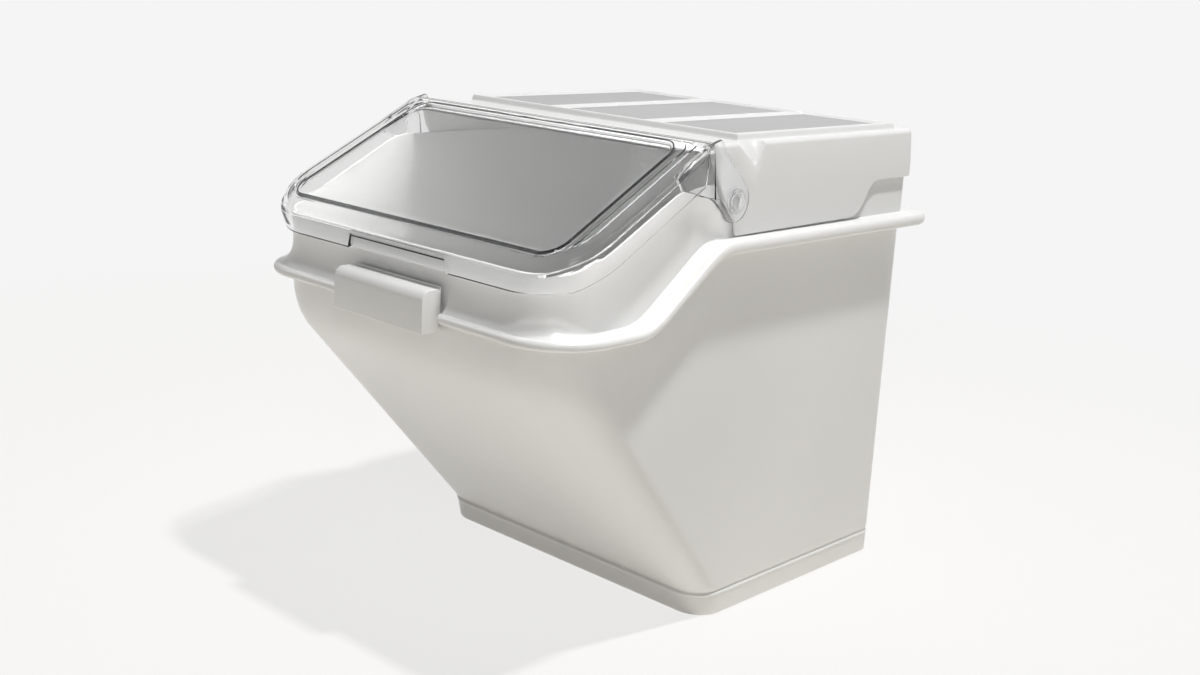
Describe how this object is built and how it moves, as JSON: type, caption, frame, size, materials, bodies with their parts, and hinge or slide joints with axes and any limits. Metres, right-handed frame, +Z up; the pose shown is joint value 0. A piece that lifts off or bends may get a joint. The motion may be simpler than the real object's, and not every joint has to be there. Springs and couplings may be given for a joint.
{
  "type": "rice bin with flip lid",
  "caption": "Slope-fronted kitchen bin for rice or dry food, with a clear lid that flips up on side pins, a lift-off white rear cover and a hooked pull on the front.",
  "frame": {"origin": "on the floor, under the middle of the closed bin's bounding box", "axes": "+X to the bin's own left-right direction, +Y from the sloping front to the rear, +Z up"},
  "size_m": [0.382, 0.5072, 0.4205],
  "materials": {
    "tub_white": "glossy white injection-moulded polypropylene",
    "pull_white": "glossy white injection-moulded polypropylene",
    "cover_white": "glossy white injection-moulded polypropylene",
    "lid_clear": "clear injection-moulded polycarbonate",
    "pin_clear": "smooth moulded plastic"
  },
  "bodies": {
    "bin": {"bin_body": "tub_white", "front_pull": "pull_white"},
    "cover": {"rear_cover": "cover_white", "hinge_pin_left": "pin_clear", "hinge_pin_right": "pin_clear"},
    "lid": {"clear_lid": "lid_clear"}
  },
  "joints": [
    {"name": "cover_lift", "type": "slide", "parent": "bin", "child": "cover", "axis": [0, 0, 1], "range_m": [0, 0.12]},
    {"name": "lid_flip", "type": "hinge", "parent": "cover", "child": "lid", "pos_m": [0, -0.0385, 0.3705], "axis": [-1, 0, 0], "range_deg": [0, 56]}
  ]
}
